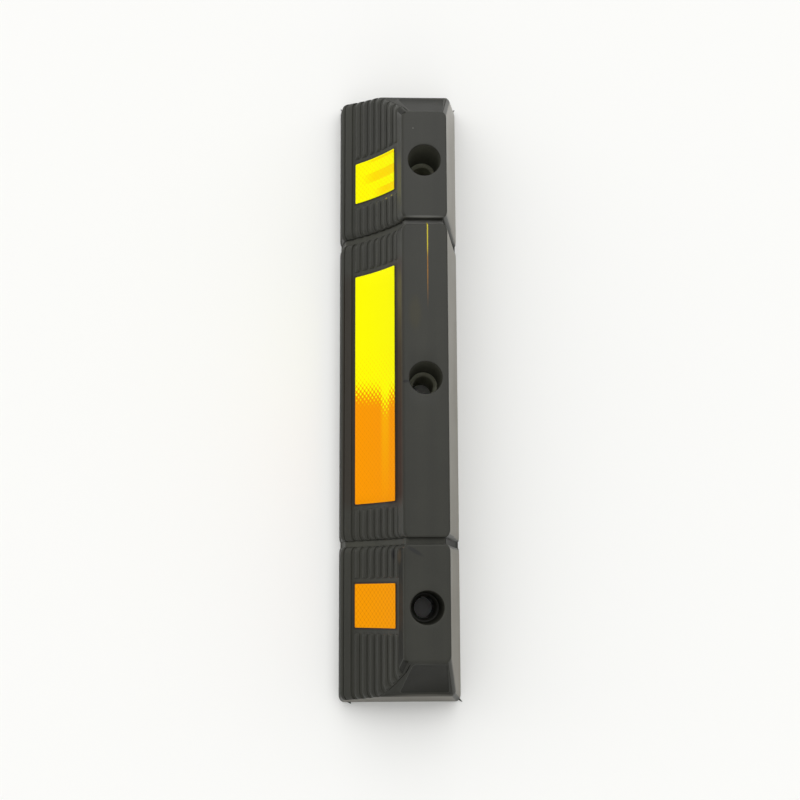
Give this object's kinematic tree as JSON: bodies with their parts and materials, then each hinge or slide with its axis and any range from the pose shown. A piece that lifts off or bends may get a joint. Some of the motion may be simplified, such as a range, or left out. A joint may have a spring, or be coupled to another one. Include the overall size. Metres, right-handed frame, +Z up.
{
  "type": "rubber wheel stop",
  "caption": "Long moulded rubber block with a hollow ribbed front slope, flat top, steep back, chamfered ends, cross grooves, counterbored anchor holes and reflective tape on the front.",
  "frame": {"origin": "middle of the underside, on the ground", "axes": "+X along the length, +Y from the ribbed front to the steep back, +Z up"},
  "size_m": [0.6, 0.118, 0.1],
  "materials": {
    "rubber": "moulded black rubber, satin, with faint mould marks",
    "reflective_film": "glossy yellow-orange prismatic retroreflective film with a diamond lattice",
    "adhesive": "matt pressure-sensitive adhesive layer"
  },
  "bodies": {
    "root": {"rubber_body": "rubber", "tape_film_middle": "reflective_film", "tape_film_left": "reflective_film", "tape_film_right": "reflective_film", "tape_adhesive_middle": "adhesive", "tape_adhesive_left": "adhesive", "tape_adhesive_right": "adhesive"}
  },
  "joints": []
}
